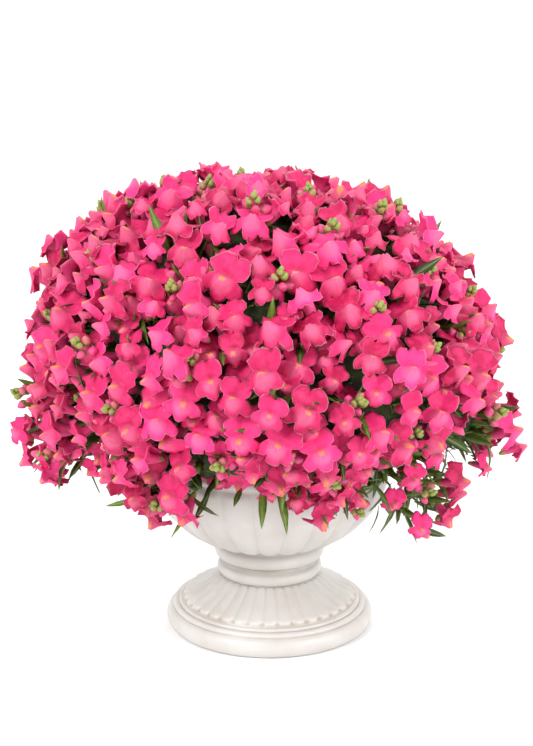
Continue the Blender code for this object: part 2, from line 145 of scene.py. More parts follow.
def new_material(name, **sockets):
    """(material, tree, shader inputs) with uniform values set on the shader's own sockets."""
    material = bpy.data.materials.new(name)
    material.use_nodes = True
    shader = material.node_tree.nodes["Principled BSDF"].inputs
    for key, value in sockets.items():
        shader[key.replace("_", " ")].default_value = value
    return material, material.node_tree, shader


def finish_material(tree, shader, colour, height, depth_mm, strength):
    """Links the colour and a bump of this depth into the shader."""
    values = {"Strength": strength, "Distance": depth_mm / 1000, "Height": height}
    tree.links.new(colour, shader["Base Color"])
    tree.links.new(add(tree, "ShaderNodeBump", values)["Normal"], shader["Normal"])


def petal_material(settings):
    """Velvety petal: deep pink lobes, a paler mound with a yellow spot, fine veins and a thin pale rim."""
    material, tree, shader = new_material(
        "velvety_petal", Roughness=0.6, Specular_IOR_Level=0.25, Subsurface_Weight=0.08,
        Subsurface_Radius=(0.004, 0.001, 0.002),
    )
    zone = add(tree, "ShaderNodeAttribute", attribute_name="zone")["Color"]
    outward, back, tail = add(tree, "ShaderNodeSeparateColor", (zone,))
    shade = add(tree, "ShaderNodeAttribute", attribute_name="shade")["Fac"]
    u, v, _ = add(tree, "ShaderNodeSeparateXYZ", (add(tree, "ShaderNodeUVMap", uv_map="UVMap")[0],))
    x = add(tree, MATH, (u, 0.5), operation="SUBTRACT")[0]
    y = add(tree, MATH, (v, 0.5), operation="SUBTRACT")[0]
    from_mouth = add(tree, MATH, (y, 0.03), operation="ADD")[0]
    spread = add(tree, MATH, (from_mouth, x), operation="ARCTAN2")[0]
    rays = add(tree, MATH, (spread, 38.0), operation="MULTIPLY")[0]
    ray = add(tree, MATH, (rays,), operation="SINE")[0]
    near_mouth = add(tree, SMOOTH, (outward, 0.80, 0.20), **SOFT)[0]
    vein = add(tree, SMOOTH, (ray, 0.1, 1.0), **SOFT)[0]
    colour = layered(
        tree, settings.deep_colour_code,
        (shade, 1.0, settings.light_colour_code),
        (patches(tree, 9.0, 2.0, 0.35, 0.7), 0.35, "#ff4a8c"),
        (spot(tree, x, y, 0.110, 0.10), 0.42, "#ff8fb6"),
        (add(tree, MATH, (vein, near_mouth), operation="MULTIPLY")[0], 0.55, "#b3084c"),
        (spot(tree, x, y, 0.045, 0.034, 1.4), settings.spot_strength, settings.spot_colour_code),
        (add(tree, SMOOTH, (outward, 0.93, 1.0), **SOFT)[0], 0.4, "#ffc0d6"),
        (back, 0.6, "#d6407c"),
        (add(tree, SMOOTH, (tail, 0.55, 0.95), **SOFT)[0], 1.0, "#8f9a4a"),
    )
    ridges = add(tree, MATH, (ray, 0.25), operation="MULTIPLY")[0]
    height = add(tree, MATH, (grain(tree, 1.4, 2.0), ridges), operation="ADD")[0]
    finish_material(tree, shader, colour, height, 0.25, 0.5)
    return material


def leaf_material(settings):
    """Fresh leaf: mid green, mottled darker, with a paler midrib, so that blades part from each other."""
    material, tree, shader = new_material(
        "fresh_leaf", Roughness=0.48, Subsurface_Weight=0.05, Subsurface_Radius=(0.001, 0.002, 0.0005)
    )
    shade = add(tree, "ShaderNodeAttribute", attribute_name="shade")["Fac"]
    _, across, _ = add(tree, "ShaderNodeSeparateXYZ", (add(tree, "ShaderNodeUVMap", uv_map="UVMap")[0],))
    off_rib = add(tree, MATH, (across, 0.5), operation="SUBTRACT")[0]
    off_rib = add(tree, MATH, (off_rib,), operation="ABSOLUTE")[0]
    rib = add(tree, SMOOTH, (off_rib, 0.09, 0.0), **SOFT)[0]
    colour = layered(
        tree, settings.dark_colour_code,
        (shade, 1.0, settings.light_colour_code),
        (patches(tree, 7.0, 3.0, 0.4, 0.7), 0.35, "#1c2c08"),
        (rib, 0.55, "#7f9247"),
    )
    ridge = add(tree, MATH, (rib, 0.6), operation="MULTIPLY")[0]
    height = add(tree, MATH, (grain(tree, 1.8), ridge), operation="ADD")[0]
    finish_material(tree, shader, colour, height, 0.3, 0.5)
    return material


def stem_material():
    """Soft stem: green that turns brown red in places, with a fine down that breaks up its highlight."""
    material, tree, shader = new_material("soft_stem", Roughness=0.55)
    colour = layered(tree, "#7d8f45", (patches(tree, 30.0, 2.0, 0.4, 0.65), 1.0, "#7a4a3c"))
    finish_material(tree, shader, colour, grain(tree, 0.8), 0.2, 0.6)
    return material


def bud_material():
    """Closed bud: green at the spike's tip and pink lower down, and each bud greener at its own root."""
    material, tree, shader = new_material("closed_bud", Roughness=0.5)
    shade = add(tree, "ShaderNodeAttribute", attribute_name="shade")["Fac"]
    _, along, _ = add(tree, "ShaderNodeSeparateXYZ", (add(tree, "ShaderNodeUVMap", uv_map="UVMap")[0],))
    ripe = layered(tree, "#8f9c4e", (add(tree, SMOOTH, (shade, 0.35, 0.75), **SOFT)[0], 1.0, "#d8487f"))
    colour = layered(tree, "#7c8a3e", (add(tree, SMOOTH, (along, 0.15, 0.5), **SOFT)[0], 1.0, ripe))
    finish_material(tree, shader, colour, grain(tree, 1.2), 0.2, 0.5)
    return material


def shade_material():
    """Painted leafy shade inside the bush: nearly black green, so that the gaps between florets read as deep.
    """
    material, tree, shader = new_material("leafy_shade", Roughness=0.8)
    colour = layered(tree, "#14180a", (patches(tree, 14.0, 4.0, 0.35, 0.7), 1.0, "#3a4a1c"))
    finish_material(tree, shader, colour, grain(tree, 8.0, 5.0), 3.0, 1.0)
    return material


def urn_material(settings):
    """Moulded resin in antique white: satin ridges, a tan wash left in every groove, and faint clouding."""
    material, tree, shader = new_material(
        "antique_white_resin", Roughness=0.42, Coat_Weight=0.15, Coat_Roughness=0.25
    )
    groove = add(tree, "ShaderNodeAttribute", attribute_name="groove")["Fac"]
    cloud = grain(tree, 45.0)
    speck = grain(tree, 3.0, 4.0)
    deep = add(tree, SMOOTH, (groove, 0.35, 1.0), **SOFT)[0]
    uneven = add(tree, SMOOTH, (cloud, 0.2, 0.6), **SOFT)[0]
    wash = add(tree, MATH, (deep, uneven), operation="MULTIPLY")[0]
    colour = layered(
        tree, settings.resin_colour_code,
        (add(tree, SMOOTH, (cloud, 0.3, 0.75), **SOFT)[0], 1.0, "#c4bfb9"),
        (wash, settings.wash_strength, settings.wash_colour_code),
        (add(tree, SMOOTH, (speck, 0.62, 0.75), **SOFT)[0], 0.12, "#b7a58f"),
    )
    waves = add(tree, MATH, (cloud, 2.0), operation="MULTIPLY")[0]
    height = add(tree, MATH, (speck, waves), operation="ADD")[0]
    finish_material(tree, shader, colour, height, 0.25, 0.35)
    return material


def soil_material():
    """Damp peat: dark crumbs with bark brown and a few pale grains."""
    material, tree, shader = new_material("damp_peat", Roughness=0.9)
    colour = layered(
        tree, "#1d130c",
        (patches(tree, 6.0, 5.0, 0.35, 0.65), 1.0, "#4a3424"),
        (patches(tree, 3.0, 1.0, 0.74, 0.78), 1.0, "#b8b0a2"),
    )
    finish_material(tree, shader, colour, grain(tree, 3.0, 5.0), 1.5, 1.0)
    return material


def floor_material():
    """Plain studio paper, matt and nearly white."""
    material, tree, shader = new_material("studio_paper", Roughness=0.9)
    tree.links.new(layered(tree, "#fbfbfb", (grain(tree, 400.0), 1.0, "#f8f8f8")), shader["Base Color"])
    return material


# Meshes


def linked(name, mesh, collection=None):
    """A new object that holds the mesh, in the scene unless a collection is given."""
    obj = bpy.data.objects.new(name, mesh)
    (collection or bpy.context.scene.collection).objects.link(obj)
    return obj


def object_of(bm, name, collection=None):
    """A new object that holds the bmesh, which is freed."""
    mesh = bpy.data.meshes.new(name)
    bm.to_mesh(mesh)
    bm.free()
    return linked(name, mesh, collection)


def smooth_object(bm, name, collection=None, uv=None):
    """The bmesh as a smooth object that faces outwards, with UV worked out from each corner's place."""
    layer = bm.loops.layers.uv.new("UVMap") if uv else None
    for face in bm.faces:
        face.smooth = True
        for loop in face.loops if uv else ():
            loop[layer].uv = uv(loop.vert.co)
    bmesh.ops.recalc_face_normals(bm, faces=bm.faces[:])
    return object_of(bm, name, collection)


def grid_faces(bm, rings):
    """Quads between closed rings of vertices of equal count."""
    count = len(rings[0])
    for low, high in zip(rings, rings[1:]):
        for k in range(count):
            after = (k + 1) % count
            bm.faces.new((low[k], low[after], high[after], high[k]))


def fan_faces(bm, ring, tip):
    """Triangles from a closed ring to a tip."""
    for k in range(len(ring)):
        bm.faces.new((ring[k], ring[(k + 1) % len(ring)], tip))


# Outline of a floret: degrees round from its right, and reach as a share of its size
OUTLINE = (
    (0, 0.50), (9, 0.72), (20, 0.87), (33, 0.96), (47, 1.01), (60, 1.03), (73, 0.98), (83, 0.88), (90, 0.80),
    (97, 0.88), (107, 0.98), (120, 1.03), (133, 1.01), (147, 0.96), (160, 0.87), (171, 0.72), (180, 0.50),
    (190, 0.68), (200, 0.90), (211, 1.00), (223, 1.00), (234, 0.88), (241, 0.72), (249, 0.84), (259, 0.93),
    (270, 0.95), (281, 0.93), (291, 0.84), (299, 0.72), (306, 0.88), (317, 1.00), (329, 1.00), (340, 0.90),
    (350, 0.68),
)
# Rings of a floret: shares of the outline in front, (share, depth) behind, (radius, depth, tail) on the tube
FRONT_RINGS = (1.0, 0.86, 0.68, 0.50, 0.35, 0.22, 0.10)
BACK_RINGS = ((0.84, 0.05), (0.52, 0.13))
TUBE_RINGS = ((0.30, -0.42, 0.3), (0.24, -0.90, 0.6), (0.12, -1.36, 1.0))
# Six forms of floret: how far the upper lip leans and cups, the lower lip droops, and the palate swells
FLORET_FORMS = (
    {"lean": 0.30, "cup": 0.20, "droop": 0.80, "mound": 0.56, "frill": 0.050, "upper": 0.94, "lower": 1.00},
    {"lean": 0.55, "cup": 0.05, "droop": 0.50, "mound": 0.60, "frill": 0.070, "upper": 0.86, "lower": 0.92},
    {"lean": 0.12, "cup": 0.42, "droop": 1.00, "mound": 0.54, "frill": 0.055, "upper": 0.98, "lower": 1.04},
    {"lean": 0.72, "cup": -0.1, "droop": 0.90, "mound": 0.52, "frill": 0.080, "upper": 0.92, "lower": 0.98},
    {"lean": 0.02, "cup": 0.60, "droop": 0.25, "mound": 0.60, "frill": 0.060, "upper": 0.80, "lower": 0.84},
    {"lean": 0.40, "cup": 0.10, "droop": 1.25, "mound": 0.58, "frill": 0.085, "upper": 1.00, "lower": 0.90},
)
# Leaf stations: share of the length and half width there
LEAF_STATIONS = (
    (0.0, 0.016), (0.12, 0.040), (0.28, 0.076), (0.45, 0.092), (0.62, 0.084), (0.78, 0.056), (0.91, 0.026)
)
LEAF_ARCHES = (0.10, 0.18, 0.26, 0.05)
BUD_STATIONS = ((0.0, 0.12), (0.12, 0.30), (0.32, 0.40), (0.55, 0.37), (0.76, 0.26), (0.92, 0.12))


def bell(value, width):
    """1 where the value is 0, and nearly 0 two widths away."""
    return math.exp(-((value / width) ** 2))


def floret_height(x, y, form):
    """Height of the petals in front of the floret's rim plane, all as shares of its size."""
    reach = math.hypot(x, y)
    notch = 0.14 * bell(x, 0.13) * max(0.0, y)
    upper = -0.04 - form["lean"] * max(0.0, y) ** 1.5 + form["cup"] * x * x - notch
    folds = math.cos(3.0 * math.atan2(x, -y))
    lower = 0.02 - form["droop"] * max(0.0, reach - 0.42) ** 1.3 + 0.10 * folds * max(0.0, reach - 0.30)
    blend = min(1.0, max(0.0, 0.5 + y / 0.16))
    blend = blend * blend * (3 - 2 * blend)
    height = upper * blend + lower * (1 - blend)
    height += form["mound"] * bell(x, 0.27) * bell(y + 0.24, 0.23)
    height -= 0.13 * bell(x, 0.045) * bell(y + 0.24, 0.20)
    height -= 0.26 * bell(x, 0.24) * bell(y - 0.07, 0.06)
    return height


def floret_mesh(name, seed, form, collection):
    """A closed two-lipped corolla of unit size. UV is its front view, and zone tells its parts."""
    rng = random.Random(seed)
    bm = bmesh.new()
    zone = bm.verts.layers.float_color.new("zone")
    frill = [(rng.uniform(-1, 1), rng.uniform(-1, 1)) for _ in OUTLINE]
    wave = [rng.uniform(0, 2 * math.pi) for _ in range(3)]
    skew = rng.uniform(-0.05, 0.05)

    def vertex(x, y, z, outward, back, tail):
        vert = bm.verts.new((x, y, z))
        vert[zone] = (outward, back, tail, 1.0)
        return vert

    def petal_ring(share, depth, back):
        """A ring at this share of the outline, moved back by the depth."""
        ring = []
        for k, (degrees, reach) in enumerate(OUTLINE):
            turn = math.radians(degrees)
            width = form["upper"] if degrees <= 180 else form["lower"]
            reach = reach * (1 + 0.065 * frill[k][0] * share**3)
            x = reach * share * math.cos(turn) * width + skew * share
            y = reach * share * math.sin(turn)
            ripple = sum(math.sin((5 + 4 * i) * turn + wave[i]) for i in range(3)) * form["frill"]
            lift = (ripple + 0.065 * frill[k][1]) * share**4
            ring.append(vertex(x, y, floret_height(x, y, form) + lift - depth, share, back, 0.0))
        return ring

    def tube_ring(radius, depth, tail):
        turns = [math.radians(degrees) for degrees, _ in OUTLINE]
        return [vertex(radius * math.cos(t), radius * math.sin(t) - 0.05, depth, 0.3, 1.0, tail) for t in turns]

    front = [petal_ring(share, 0.0, 0.0) for share in FRONT_RINGS]
    back = [petal_ring(share, depth, 1.0) for share, depth in BACK_RINGS]
    back += [tube_ring(*ring) for ring in TUBE_RINGS]
    grid_faces(bm, front)
    grid_faces(bm, [front[0]] + back)
    fan_faces(bm, front[-1], vertex(skew * 0.1, 0.02, floret_height(0, 0.02, form) - 0.04, 0.0, 0.0, 0.0))
    fan_faces(bm, back[-1], vertex(0, -0.05, -1.46, 0.3, 1.0, 1.0))
    return smooth_object(bm, name, collection, lambda co: (0.5 + 0.4 * co.x, 0.5 + 0.4 * co.y))


def leaf_mesh(name, seed, arch, collection):
    """A narrow pointed blade of unit length along +Z, face towards +Y, with a keel, an arch and waved edges."""
    rng = random.Random(seed)
    bm = bmesh.new()
    rings = []
    for share, half in LEAF_STATIONS:
        lift = arch * share * share
        wave = rng.uniform(-0.012, 0.012)
        corners = (
            (half, 0.30 * half - lift + wave), (0.0, 0.012 - lift), (-half, 0.30 * half - lift - wave),
            (0.0, -0.014 - lift),
        )
        rings.append([bm.verts.new((x, y, share)) for x, y in corners])
    grid_faces(bm, rings)
    bm.faces.new(rings[0])
    fan_faces(bm, rings[-1], bm.verts.new((0.0, -arch, 1.0)))
    return smooth_object(bm, name, collection, lambda co: (co.z, 0.5 + 5.0 * co.x))


def bud_mesh(name, seed, collection):
    """A plump pointed bud of unit length along +Z."""
    rng = random.Random(seed)
    bm = bmesh.new()
    rings = []
    for share, radius in BUD_STATIONS:
        turns = [2 * math.pi * k / 8 for k in range(8)]
        lobe = [radius * (1 + 0.08 * math.cos(4 * t) + rng.uniform(-0.03, 0.03)) for t in turns]
        rings.append([bm.verts.new((a * math.cos(t), a * math.sin(t), share)) for a, t in zip(lobe, turns)])
    grid_faces(bm, rings)
    bm.faces.new(rings[0])
    fan_faces(bm, rings[-1], bm.verts.new((0.0, 0.0, 1.0)))
    return smooth_object(bm, name, collection, lambda co: (0.5, co.z))


def crumb_mesh(name, seed, collection):
    """An uneven crumb of about unit radius."""
    rng = random.Random(seed)
    bm = bmesh.new()
    bmesh.ops.create_icosphere(bm, subdivisions=1, radius=1.0)
    for vert in bm.verts:
        vert.co *= rng.uniform(0.7, 1.2)
    return object_of(bm, name, collection)


def variants(name, count, make):
    """A collection of differing pieces, kept out of the scene, for a tree to scatter."""
    collection = bpy.data.collections.new(name)
    for index in range(count):
        make(f"{name}_{index}", index, collection)
    return collection


# Geometry Nodes


def tree_with(name, sockets):
    """(tree, its inputs) of a Geometry Nodes tree that takes a geometry and these named inputs."""
    tree = bpy.data.node_groups.new(name, "GeometryNodeTree")
    for label, kind in (("Geometry", "Geometry"), *sockets.items()):
        tree.interface.new_socket(label, in_out="INPUT", socket_type=f"NodeSocket{kind}")
    tree.interface.new_socket("Geometry", in_out="OUTPUT", socket_type="NodeSocketGeometry")
    return tree, add(tree, "NodeGroupInput")


def finish_tree(tree, geometry, material, smooth=True):
    """Ends a tree: instances made real, shaded and given their material."""
    real = add(tree, "GeometryNodeRealizeInstances", (geometry,))[0]
    shaded = add(tree, "GeometryNodeSetShadeSmooth", {0: real, 2: smooth})[0]
    done = add(tree, "GeometryNodeSetMaterial", {0: shaded, 2: material})[0]
    add(tree, "NodeGroupOutput", (done,))


def pieces_on_points(tree, collection, values):
    """A collection's pieces, each of them picked for itself, as instances on points."""
    children = {"Collection": collection, "Separate Children": True, "Reset Children": True}
    pieces = add(tree, "GeometryNodeCollectionInfo", children)[0]
    values = {**values, "Instance": pieces, "Pick Instance": True}
    return add(tree, "GeometryNodeInstanceOnPoints", values)[0]


def scatter_tree():
    """Puts pieces on points, turned by the points' facing and upward, with seeded tilt and size."""
    tree, given = tree_with("scatter_on_points", {**SCATTER, "Tilt": "Float", "Size Spread": "Float"})
    facing = add(tree, NAMED, {"Name": "facing"}, data_type="FLOAT_VECTOR")["Attribute"]
    upward = add(tree, NAMED, {"Name": "upward"}, data_type="FLOAT_VECTOR")["Attribute"]
    size = add(tree, NAMED, {"Name": "size"}, data_type="FLOAT")["Attribute"]
    kind = add(tree, NAMED, {"Name": "kind"}, data_type="INT")["Attribute"]
    turn = add(tree, "FunctionNodeAxesToRotation", (facing, upward), primary_axis="Z", secondary_axis="Y")[0]
    low = add(tree, MATH, (given["Tilt"], -1.0), operation="MULTIPLY")[0]
    lows = add(tree, "ShaderNodeCombineXYZ", (low, low, low))[0]
    highs = add(tree, "ShaderNodeCombineXYZ", (given["Tilt"], given["Tilt"], given["Tilt"]))[0]
    shake = add(tree, RANDOM, {"Min": lows, "Max": highs, "Seed": given["Seed"]}, data_type="FLOAT_VECTOR")[0]
    shake = add(tree, "FunctionNodeEulerToRotation", (shake,))[0]
    turn = add(tree, "FunctionNodeRotateRotation", (turn, shake), rotation_space="LOCAL")[0]
    least = add(tree, MATH, (1.0, given["Size Spread"]), operation="SUBTRACT")[0]
    most = add(tree, MATH, (1.0, given["Size Spread"]), operation="ADD")[0]
    spread = add(tree, RANDOM, {2: least, 3: most, "Seed": given["Seed"]}, data_type="FLOAT")[1]
    size = add(tree, MATH, (size, spread), operation="MULTIPLY")[0]
    values = {"Points": given["Geometry"], "Instance Index": kind, "Rotation": turn, "Scale": size}
    placed = pieces_on_points(tree, given["Pieces"], values)
    finish_tree(tree, placed, given["Material"])
    return tree


def tube_tree():
    """Round tubes along a mesh's edges, as thick as its radius attribute says."""
    tree, given = tree_with("tubes_on_paths", {"Material": "Material", "Sides": "Int"})
    curve = add(tree, "GeometryNodeMeshToCurve", (given["Geometry"],))[0]
    circle = add(tree, "GeometryNodeCurvePrimitiveCircle", {"Resolution": given["Sides"], "Radius": 1.0})[0]
    radius = add(tree, NAMED, {"Name": "radius"}, data_type="FLOAT")["Attribute"]
    values = {"Curve": curve, "Profile Curve": circle, "Scale": radius, "Fill Caps": True}
    finish_tree(tree, add(tree, "GeometryNodeCurveToMesh", values)[0], given["Material"])
    return tree


def crumb_tree():
    """Crumbs strewn over a surface's upward faces, joined to it."""
    tree, given = tree_with("crumbs_on_surface", {**SCATTER, "Density": "Float", "Size": "Float"})
    _, _, rise = add(tree, "ShaderNodeSeparateXYZ", (add(tree, "GeometryNodeInputNormal")[0],))
    level = add(tree, "FunctionNodeCompare", (rise, 0.8), operation="GREATER_THAN")[0]
    values = {"Mesh": given["Geometry"], "Selection": level, "Density": given["Density"], "Seed": given["Seed"]}
    points = add(tree, "GeometryNodeDistributePointsOnFaces", values)
    size = add(tree, RANDOM, {2: 0.4, 3: 1.3, "Seed": given["Seed"]}, data_type="FLOAT")[1]
    size = add(tree, MATH, (size, given["Size"]), operation="MULTIPLY")[0]
    values = {"Points": points[0], "Rotation": points["Rotation"], "Scale": size}
    placed = pieces_on_points(tree, given["Pieces"], values)
    joined = add(tree, "GeometryNodeJoinGeometry", (given["Geometry"],))[0]
    tree.links.new(placed, joined.node.inputs[0])
    finish_tree(tree, joined, given["Material"], smooth=False)
    return tree


def grown(base, tree, name, **inputs):
    """The plain mesh that a tree makes from a base object, which is then removed."""
    modifier = base.modifiers.new(tree.name, "NODES")
    modifier.node_group = tree
    for item in tree.interface.items_tree:
        key = item.name.replace(" ", "_").lower()
        if item.in_out == "INPUT" and key in inputs:
            modifier[item.identifier] = inputs[key]
    bpy.context.view_layer.update()
    graph = bpy.context.evaluated_depsgraph_get()
    mesh = bpy.data.meshes.new_from_object(base.evaluated_get(graph), depsgraph=graph)
    mesh.name = name
    base.modifiers.remove(modifier)
    bpy.data.objects.remove(base, do_unlink=True)
    return linked(name, mesh)


def points_object(name, places):
    """A mesh of loose points. Each place is a dict: at, facing, upward, size, kind and shade."""
    mesh = bpy.data.meshes.new(name)
    mesh.from_pydata([p["at"] for p in places], [], [])
    for key, kind, field in (
        ("facing", "FLOAT_VECTOR", "vector"), ("upward", "FLOAT_VECTOR", "vector"), ("size", "FLOAT", "value"),
        ("kind", "INT", "value"), ("shade", "FLOAT", "value"),
    ):
        values = np.array([p[key] for p in places]).ravel()
        mesh.attributes.new(key, kind, "POINT").data.foreach_set(field, values)
    return linked(name, mesh)


def paths_object(name, paths):
    """A mesh of polylines. Each path is a list of (place, radius)."""
    verts, edges, radii = [], [], []
    for path in paths:
        start = len(verts)
        verts += [place for place, _ in path]
        radii += [radius for _, radius in path]
        edges += [(start + k, start + k + 1) for k in range(len(path) - 1)]
    mesh = bpy.data.meshes.new(name)
    mesh.from_pydata(verts, edges, [])
    mesh.attributes.new("radius", "FLOAT", "POINT").data.foreach_set("value", radii)
    return linked(name, mesh)


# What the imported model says, and where the rest grows


def welded(node):
    """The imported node's mesh with its corners joined."""
    bm = bmesh.new()
    bm.from_mesh(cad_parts[node].data)
    bmesh.ops.remove_doubles(bm, verts=bm.verts[:], dist=2e-5)
    return bm


def packed_florets():
    """Each packed floret's head, place and facing. Its palate is the tip of a fan of twelve small faces."""
    found = []
    for head in HEADS:
        bm = welded(head)
        for vert in bm.verts:
            if len(vert.link_faces) != 12 or max(edge.calc_length() for edge in vert.link_edges) > 0.030:
                continue
            ring = [edge.other_vert(vert).co for edge in vert.link_edges]
            facing = sum((face.normal * face.calc_area() for face in vert.link_faces), Vector())
            middle = sum(ring, Vector()) / len(ring)
            found.append({"head": head, "at": middle, "facing": facing.normalized(), "deep": False})
        bm.free()
    return found


def packed_leaves():
    """(tip, direction) of each packed leaf, which ends in a pointed vertex of three narrow faces."""
    found = []
    bm = welded("bush")
    for vert in bm.verts:
        if len(vert.link_edges) != 3:
            continue
        ring = [edge.other_vert(vert).co for edge in vert.link_edges]
        away = vert.co - sum(ring, Vector()) / 3
        if 0.008 < away.length < 0.014 and max((a - b).length for a in ring for b in ring) < 0.012:
            found.append((vert.co.copy(), away.normalized()))
    bm.free()
    return found


def floret_tree(florets):
    """A search tree over the florets' places."""
    tree = KDTree(len(florets))
    for index, floret in enumerate(florets):
        tree.insert(floret["at"], index)
    tree.balance()
    return tree


def gap_florets(florets, gap, apart, sink):
    """Florets that stand a little deeper, midway between packed ones, where the gap between those is wide."""
    tree = floret_tree(florets)
    pairs = []
    for index, floret in enumerate(florets):
        for _, other, distance in tree.find_range(floret["at"], 0.075):
            if other > index and distance > 2 * gap:
                pairs.append((-distance, index, other))
    found = []
    for _, a, b in sorted(pairs):
        middle = (florets[a]["at"] + florets[b]["at"]) / 2
        if tree.find(middle)[2] < gap or florets[a]["facing"].dot(florets[b]["facing"]) < 0.3:
            continue
        if any((middle - other["at"]).length < apart for other in found):
            continue
        facing = (florets[a]["facing"] + florets[b]["facing"]).normalized()
        found.append({"head": florets[a]["head"], "at": middle - facing * sink, "facing": facing, "deep": True})
    return found


def fringe_florets(florets, others):
    """Florets under the dome's edge, close together over the front of the bowl and apart round the rest."""
    rng = random.Random(13)
    found = []
    for k in range(44):
        degrees = -128.0 + 4.2 * k if k < 15 else 12.0 * (k - 15)
        turn = math.radians(degrees) + rng.uniform(-0.03, 0.03)
        flat = Vector((math.cos(turn), math.sin(turn), 0.0))
        place = flat * rng.uniform(0.142, 0.160) + UP * rng.uniform(0.190, 0.212)
        if min((place - floret["at"]).length for floret in florets + others + found) > 0.017:
            facing = (flat - UP * rng.uniform(0.0, 0.5)).normalized()
            head = min(florets, key=lambda floret: (floret["at"] - place).length)["head"]
            found.append({"head": head, "at": place, "facing": facing, "deep": True})
    return found


def in_leafy_patch(place):
    """Whether a place is low on the right of the front, where the photograph shows more leaves than florets."""
    turn = math.degrees(math.atan2(place.y, place.x))
    return -62.0 < turn < -12.0 and place.z < 0.275


def all_florets():
    """(packed florets, the deeper ones between and under them)."""
    florets = packed_florets()
    extra = gap_florets(florets, 0.0195, 0.0240, 0.011)
    extra += fringe_florets(florets, extra)
    return florets, [floret for floret in extra if not in_leafy_patch(floret["at"])]


def heads_of(florets):
    """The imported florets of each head, by its name."""
    heads = {}
    for floret in florets:
        heads.setdefault(floret["head"], []).append(floret)
    return heads


def middle_of(group):
    """(middle, axis) of a head."""
    axis = sum((floret["facing"] for floret in group), Vector()).normalized()
    return sum((floret["at"] for floret in group), Vector()) / len(group), axis


def side_of(place):
    """The quarter of the plant that a place is in."""
    turn = math.degrees(math.atan2(place.y, place.x))
    return min(SIDES, key=lambda side: abs((turn - side[1] + 180.0) % 360.0 - 180.0))[0]


def side_axes(axis):
    """Two unit vectors square to the axis: one level, and one that looks up the slope."""
    level = UP.cross(axis)
    if level.length < 0.05:
        level = Vector((1, 0, 0))
    level.normalize()
    return level, axis.cross(level).normalized()


def place_of(at, facing, size, kind, shade, upward=None):
    """One entry for points_object."""
    upward = upward or side_axes(facing)[1]
    return {"at": at, "facing": facing, "upward": upward, "size": size, "kind": kind, "shade": shade}


def shell_reach(tree, florets, direction):
    """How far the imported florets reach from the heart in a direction."""
    far = 0.0
    for _ in range(3):
        near = tree.find_n(HEART + direction * (far or 0.20), 5)
        weights = [1.0 / (distance + 0.004) for _, _, distance in near]
        reach = sum(w * (florets[i]["at"] - HEART).dot(direction) for w, (_, i, _) in zip(weights, near))
        far = reach / sum(weights)
    return far


# Urn and soil. A profile point is (radius, height, groove), where groove is how much of the wash it holds


def flute_height(across, along):
    """Height of a rounded rib, 0 to 1, across it from -1 to 1 and along it in half widths from its end."""
    end = 1.0 - along if along < 1.0 else 0.0
    return math.sqrt(max(0.0, 1.0 - across * across - end * end))


def across_rib(turn, count):
    """Place across a rib at an angle from the front, -1 to 1, a little short of its edges."""
    return 0.97 * (((turn * count / (2 * math.pi) + 0.5) % 1.0) * 2 - 1)


def arc_points(centre, radii, start, end, count):
    """Clean profile points on an arc, from one angle to another in degrees."""
    turns = [math.radians(start + (end - start) * k / (count - 1)) for k in range(count)]
    return [(centre[0] + radii[0] * math.cos(t), centre[1] + radii[1] * math.sin(t), 0.0) for t in turns]


def lathe(name, profile, steps, ribs):
    """A closed turned solid, its profile given from the axis at the bottom to the axis at the top.

    ribs gives (rise, groove) for a profile point's index and an angle from the front.
    """
    bm = bmesh.new()
    groove = bm.verts.layers.float.new("groove")
    rings = []
    for index, (radius, height, dirt) in enumerate(profile[1:-1], 1):
        run = Vector(profile[index + 1][:2]) - Vector(profile[index - 1][:2])
        run = run.normalized() if run.length else Vector((0.0, 1.0))
        ring = []
        for k in range(steps):
            turn = 2 * math.pi * k / steps
            rise, worn = ribs(index, turn)
            out = radius + run.y * rise
            vert = bm.verts.new((out * math.sin(turn), -out * math.cos(turn), height - run.x * rise))
            vert[groove] = max(dirt, worn)
            ring.append(vert)
        rings.append(ring)
    grid_faces(bm, rings)
    fan_faces(bm, rings[0], bm.verts.new((0, 0, profile[0][1])))
    fan_faces(bm, rings[-1], bm.verts.new((0, 0, profile[-1][1])))
    return smooth_object(bm, name)


